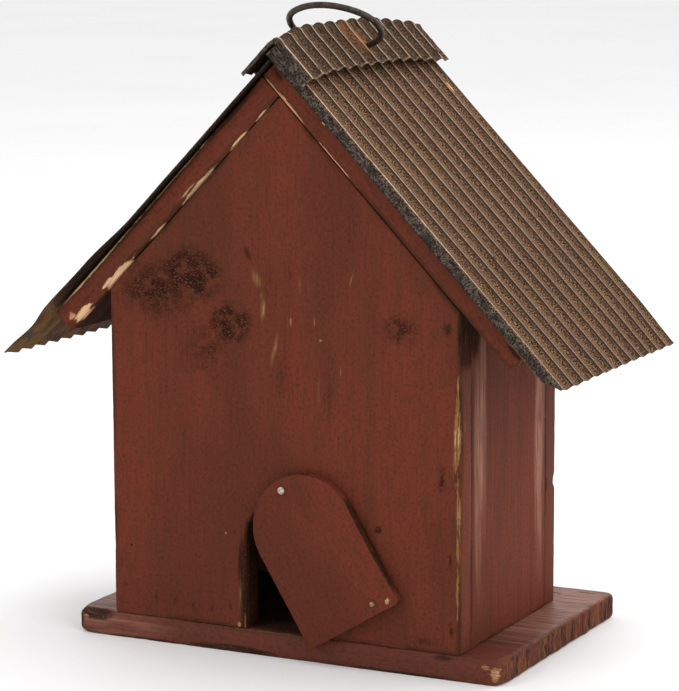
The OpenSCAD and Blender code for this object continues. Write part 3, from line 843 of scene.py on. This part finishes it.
def ridge_cap():
    """Cap bent over the ridge, with its left flap pressed down at both ends."""
    first = cap_lo.y + FOLD[0][0] * MM
    profile = rib_profile(first, CAP_PITCH, 13, cap_hi.y - 0.4 * MM)
    rows = []
    flat_steps, arc_steps = 9, 10
    # Each stop across the cap is (flap or crown, share of the way)
    stops = [(-1, k / flat_steps) for k in range(flat_steps)]
    stops += [(0, k / arc_steps * 2 - 1) for k in range(arc_steps + 1)]
    stops += [(1, k / flat_steps) for k in reversed(range(flat_steps))]
    for part, share_along in stops:
        row = []
        for y, share, crest, flank, down in profile:
            front = smooth(-y, 36 * MM, 64 * MM)
            back = smooth(y, 10 * MM, 66 * MM)
            h_left = CAP_H - MM * (3.9 * front + 4.2 * back)
            h_right = CAP_H - MM * (0.7 * front + 1.6 * back)
            fold = 5.1 if part > 0 else 1.5 if part < 0 else 3.3 + 1.8 * share_along
            fold *= down * MM
            crown_x = (h_right - h_left) / (2 * SIN)
            crown_z = RIDGE_Z + (h_left + h_right - 2 * CROWN_R) / (2 * COS)
            dent = 0.18 * MM * wobble(share_along, y, part, 60)
            depth = CAP_RIB * (1 - share) + dent + fold
            points = []
            for extra in (0, TIN):
                d = depth + extra
                if part == 0:
                    angle = share_along * ROOF
                    r = CROWN_R - d
                    points.append(Vector((crown_x + r * math.sin(angle), y,
                                          crown_z + r * math.cos(angle))))
                else:
                    h = h_left if part < 0 else h_right
                    start = -(h - CROWN_R) * math.tan(ROOF)
                    tangent_x = crown_x + part * (CROWN_R - d) * SIN
                    tangent = Vector((tangent_x, y, crown_z + (CROWN_R - d) * COS))
                    short = 0.8 * MM if part < 0 else (2.5 + 0.8 * front) * MM
                    length = FLAP - start - short + 0.4 * MM * wobble(y, 0, part, 70)
                    run = length * (1 - share_along)
                    tilt = -0.3 * MM if part > 0 else 0.5 * MM
                    points.append(tangent + Vector((part * (run * COS + tilt * SIN), 0,
                                                    -run * SIN + tilt * COS)) if run else tangent)
            s = part * (1 - share_along) * FLAP if part else share_along * 2 * MM
            values = {"tin": (s, y, 23.0 - fold), "crest": crest, "flank": flank,
                      "edge": share_along * FLAP if part else FLAP, "lip": min(1, 5 * down)}
            row.append((points[0], points[1], values))
        rows.append(row)
    tin = rusty_tin("tin_cap", sooty=0.45, stain=[
        (7, -2, 12, 9, 1.0), (2, -9, 8, 9, 0.7), (-9, 0, 9, 9, 0.8),
        (10, 12, 10, 6, 0.4)])
    grid_sheet("ridge_cap", rows, tin)


# ---- Wire handle ----

def wire_arc(centre, radius, start, sweep, steps):
    """Points along a bend in the wire."""
    angles = [start + sweep * k / steps for k in range(steps + 1)]
    return [centre + radius * Vector((math.cos(a), math.sin(a))) for a in angles]


def wire_handle():
    """Round wire bent to an open loop, with its two ends turned in under the cap."""
    top_r, top_angle, rise = 24 * MM, math.radians(38), 2.9 * MM
    side_r, leg_angle = 11.2 * MM, math.radians(35.5)
    pin_in, foot_r, wire_r = 3.9 * MM, 3 * MM, 1.3 * MM
    shoulder_c = Vector((math.sin(top_angle), math.cos(top_angle))) * (top_r - side_r)
    shoulder_c += Vector((0, rise))
    quarter = math.pi / 2
    turn = quarter - leg_angle
    leg_top = shoulder_c + side_r * Vector((math.cos(turn), -math.sin(turn)))
    foot_x = leg_top.x - leg_top.y / math.tan(leg_angle)
    foot_in = foot_r * math.tan(leg_angle / 2)
    half = [Vector((pin_in, 0)), Vector((foot_x - foot_in - 2 * MM, 0))]
    half += wire_arc(Vector((foot_x - foot_in, foot_r)), foot_r, -quarter, leg_angle, 6)
    half += wire_arc(shoulder_c, side_r, -turn, turn + quarter - top_angle, 20)
    half += wire_arc(Vector((0, rise)), top_r, quarter - top_angle, top_angle, 12)[1:]
    path = half + [Vector((-p.x, p.y)) for p in reversed(half[:-1])]
    sides = 20
    verts = []
    for i, p in enumerate(path):
        ahead = (path[min(i + 1, len(path) - 1)] - path[max(i - 1, 0)]).normalized()
        out = Vector((ahead.y, -ahead.x))
        kink = 0.12 * MM * wobble(p.x, p.y, 3, 110) * smooth(p.y, 2 * MM, 8 * MM)
        for k in range(sides):
            a = 2 * math.pi * k / sides
            r = wire_r * (0.97 + 0.03 * wobble(p.x + k, p.y, 7, 400))
            flat = p + out * (r * math.cos(a) + kink)
            off = r * math.sin(a)
            up = flat.y * math.cos(HANDLE_LEAN) + off * math.sin(HANDLE_LEAN)
            fore = -flat.y * math.sin(HANDLE_LEAN) + off * math.cos(HANDLE_LEAN)
            verts.append(HANDLE_AXIS + Vector((flat.x, fore, up)))
    rings = len(path)
    faces = [tuple(range(sides)), tuple((rings - 1) * sides + k for k in reversed(range(sides)))]
    faces += tube_faces(0, rings, sides)
    metal = plain_metal("wire_metal", rgb(78, 66, 58), rgb(38, 31, 27), 0.32, 0.6)
    make_piece("wire_handle", "handle", metal, verts, faces, {})


# ---- Door ----

def door():
    """Arched door, drawn closed and swung open about its nail."""
    swing = Matrix.Rotation(-DOOR_OPEN, 3, "Y")
    shut = [swing.inverted() @ (v.co - DOOR_PIVOT) + DOOR_PIVOT
            for v in frame["nodes"]["door"].data.vertices]
    x0, x1 = min(v.x for v in shut), max(v.x for v in shut)
    z0, z1 = min(v.z for v in shut), max(v.z for v in shut)
    outer_y = min(v.y for v in shut)
    thick = max(v.y for v in shut) - outer_y
    centre, radius = (x0 + x1) / 2, (x1 - x0) / 2
    corners = [corner(x0, z0, 0.6), corner(x1, z0, 1.6)]
    for k in range(33):
        angle = math.pi * k / 32
        corners.append((centre + radius * math.cos(angle),
                        z1 - radius + radius * math.sin(angle), 0))

    def place(p, q, d):
        return swing @ (Vector((p, outer_y + d, q)) - DOOR_PIVOT) + DOOR_PIVOT

    chip = [((z0 + 2.7 * MM) / MM, (x0 + 40 * MM) / MM, 2.6, 2.2, 0.75, 30)]
    side = [((z0 + z1) / 2 / MM - 6, x1 / MM + 0.6, 34, 1.6, 1.5)]
    paint = painted_wood("paint_door", (2.2, 0.3, 0.06), bare=chip, dark=side, worn=-0.4, glaze=-0.35,
                         aged=0.5, grime=0.12)
    board("door", corners, thick, place, 1, 8.8, paint, 0.4, None, "door")


# ---- Nails ----

def islands(mesh):
    """Lists of vertex places, one for each separate solid of a mesh."""
    parent = {}

    def find(key):
        while parent[key] != key:
            key = parent[key]
        return key

    keys = [tuple(round(c, 7) for c in v.co) for v in mesh.vertices]
    for key in keys:
        parent[key] = key
    for e in mesh.edges:
        a, b = find(keys[e.vertices[0]]), find(keys[e.vertices[1]])
        parent[a] = b
    groups = {}
    for key in parent:
        groups.setdefault(find(key), []).append(Vector(key))
    return [groups[k] for k in sorted(groups)]


def nail_size(points):
    """Head's top, direction of the shank, length, head radius, head height and shank radius."""
    centre = sum(points, Vector()) / len(points)
    tip = max(points, key=lambda p: (p - centre).length)
    axis = Vector()
    for p in points:
        d = p - centre
        axis += d if d.dot(tip - centre) > 0 else -d
    axis.normalize()
    span = [(p - centre).dot(axis) for p in points]
    low, high = min(span), max(span)

    def width(near):
        on_end = [p - centre - axis * s for p, s in zip(points, span) if abs(s - near) < 0.05 * MM]
        middle = sum(on_end, Vector()) / len(on_end)
        return middle, max((q - middle).length for q in on_end)

    (mid_low, r_low), (mid_high, r_high) = width(low), width(high)
    if r_high > r_low:
        axis, low, high, mid_low, mid_high = -axis, -high, -low, mid_high, mid_low
        r_low, r_high = r_high, r_low
        span = [-s for s in span]
    steps = sorted(set(round(s - low, 6) for s in span))
    return centre + mid_low + axis * low, axis, high - low, r_low, steps[1], r_high


def nails(node, metal, body="house"):
    """Nails in the CAD nails' places, with domed, slightly beaten heads."""
    verts, faces = [], []
    sides = 18
    for index, points in enumerate(islands(frame["nodes"][node].data)):
        top, axis, length, head_r, head_t, shank_r = nail_size(points)
        across = axis.orthogonal().normalized()
        other = axis.cross(across)
        dome = min(0.45 * head_t, 0.3 * MM)
        shape = [(0.0, 0.0), (0.45 * head_r, 0.08 * dome), (0.78 * head_r, 0.45 * dome),
                 (0.95 * head_r, dome), (head_r, dome + 0.25 * head_t), (0.97 * head_r, 0.9 * head_t),
                 (0.86 * head_r, head_t), (shank_r, head_t + 0.05 * MM),
                 (shank_r, length - 1.6 * shank_r), (0.0, length)]
        first = len(verts)
        for r, down in shape:
            for k in range(sides):
                a = 2 * math.pi * k / sides
                beat = 1 - 0.03 * (1 + wobble(k * 0.37, index, r * 900, 1)) * (r > shank_r)
                sink = 0.05 * MM * (1 + wobble(math.cos(a), math.sin(a), index + r * 900, 1.3))
                place = (across * math.cos(a) + other * math.sin(a)) * r * beat
                verts.append(top + place + axis * (down + (sink if 0 < down < dome else 0)))
        faces += tube_faces(first, len(shape), sides)
    make_piece(node, body, metal, verts, faces, {}, 50)


def all_nails():
    iron = plain_metal("nail_iron", rgb(122, 84, 66), rgb(62, 42, 32), 0.55, 0.2)
    painted = plain_metal("nail_painted", rgb(106, 50, 37), rgb(80, 40, 30), 0.6, 0.0, gloss=0.05)
    rust = plain_metal("nail_rust", rgb(124, 86, 60), rgb(66, 46, 34), 0.6, 0.2)
    bright = plain_metal("nail_bright", rgb(206, 190, 178), rgb(140, 122, 112), 0.25, 0.75, 0.08 * MM)
    dull = plain_metal("nail_dull", rgb(206, 172, 138), rgb(116, 88, 62), 0.45, 0.3)
    for node in ("front_wall_nails", "back_wall_nails"):
        nails(node, painted)
    for node in ("base_nails", "left_board_nails", "right_board_nails", "ridge_nails",
                 "left_sheet_nails", "right_sheet_nails"):
        nails(node, iron)
    nails("cap_nails", rust)
    nails("door_pivot_nail", bright)
    nails("door_pull_nail", dull, "door")


# ---- Studio ----

def studio():
    """Pale floor, soft lamps, and the camera."""
    bpy.ops.mesh.primitive_plane_add(size=14)
    floor = bpy.context.object
    floor.name = "floor"
    m = Shader(bpy.data.materials.new("floor_pale"))
    at = m.node("ShaderNodeTexCoord").outputs["Object"]
    tone = m.noise(at, (3, 3, 3), 2)
    colour = m.blend(m.rise(tone, 0.3, 0.7), (0.94, 0.94, 0.94, 1), (0.92, 0.92, 0.92, 1))
    rough = m.scaled(tone, 0.1, 0.8)
    floor.data.materials.append(m.finish(colour, rough, tone, 0.1 * MM))

    # White surroundings, dimmer in front of the house than behind it
    world = Shader(bpy.data.worlds.new("studio"))
    sky = world.node("ShaderNodeTexCoord").outputs["Generated"]
    behind = world.node("ShaderNodeVectorMath", {0: sky, 1: (0.30, 0.90, 0.30)},
                        operation="DOT_PRODUCT").outputs["Value"]
    level = world.node("ShaderNodeMapRange", {"Value": behind, "From Min": -0.75, "From Max": 0.5,
                                              "To Min": 0.42, "To Max": 1.12}).outputs["Result"]
    glow = world.node("ShaderNodeBackground", {"Color": (1, 1, 1, 1), "Strength": level})
    world.node("ShaderNodeOutputWorld", {"Surface": glow.outputs[0]})
    bpy.context.scene.world = world.owner
    bpy.context.scene.view_settings.view_transform = "Standard"

    target = Vector((0, 0, 0.12))       # what the lamps are aimed at
    lamps = [("key", (-0.9, -1.5, 1.3), 1.0, 9), ("fill", (1.5, -1.0, 1.2), 1.0, 6),
             ("back", (1.3, 1.6, 0.9), 1.4, 10), ("top", (0.3, 0.1, 1.8), 1.2, 8)]
    for name, place, width, power in lamps:
        lamp = bpy.data.lights.new(name, "AREA")
        lamp.shape = "SQUARE"
        lamp.size = width
        lamp.energy = power
        holder = bpy.data.objects.new(name, lamp)
        holder.location = place
        holder.rotation_euler = (target - Vector(place)).to_track_quat("-Z", "Y").to_euler()
        bpy.context.scene.collection.objects.link(holder)

    # Camera as it was fitted to the photo's edges
    lens = bpy.data.cameras.new("camera")
    lens.lens = 155.24
    lens.sensor_width = 36
    lens.clip_start = 0.05
    camera = bpy.data.objects.new("camera", lens)
    turn, tilt, roll = math.radians(26.75), math.radians(90 - 9.75), math.radians(-0.24)
    facing = (Matrix.Rotation(turn, 4, "Z") @ Matrix.Rotation(tilt, 4, "X")
              @ Matrix.Rotation(roll, 4, "Z"))
    camera.matrix_world = Matrix.Translation((0.522, -1.04315, 0.31447)) @ facing
    bpy.context.scene.collection.objects.link(camera)
    bpy.context.scene.camera = camera


base_board()
front_wall()
back_wall()
side_walls()
roof_boards()
roof_sheets()
ridge_cap()
wire_handle()
door()
all_nails()
studio()
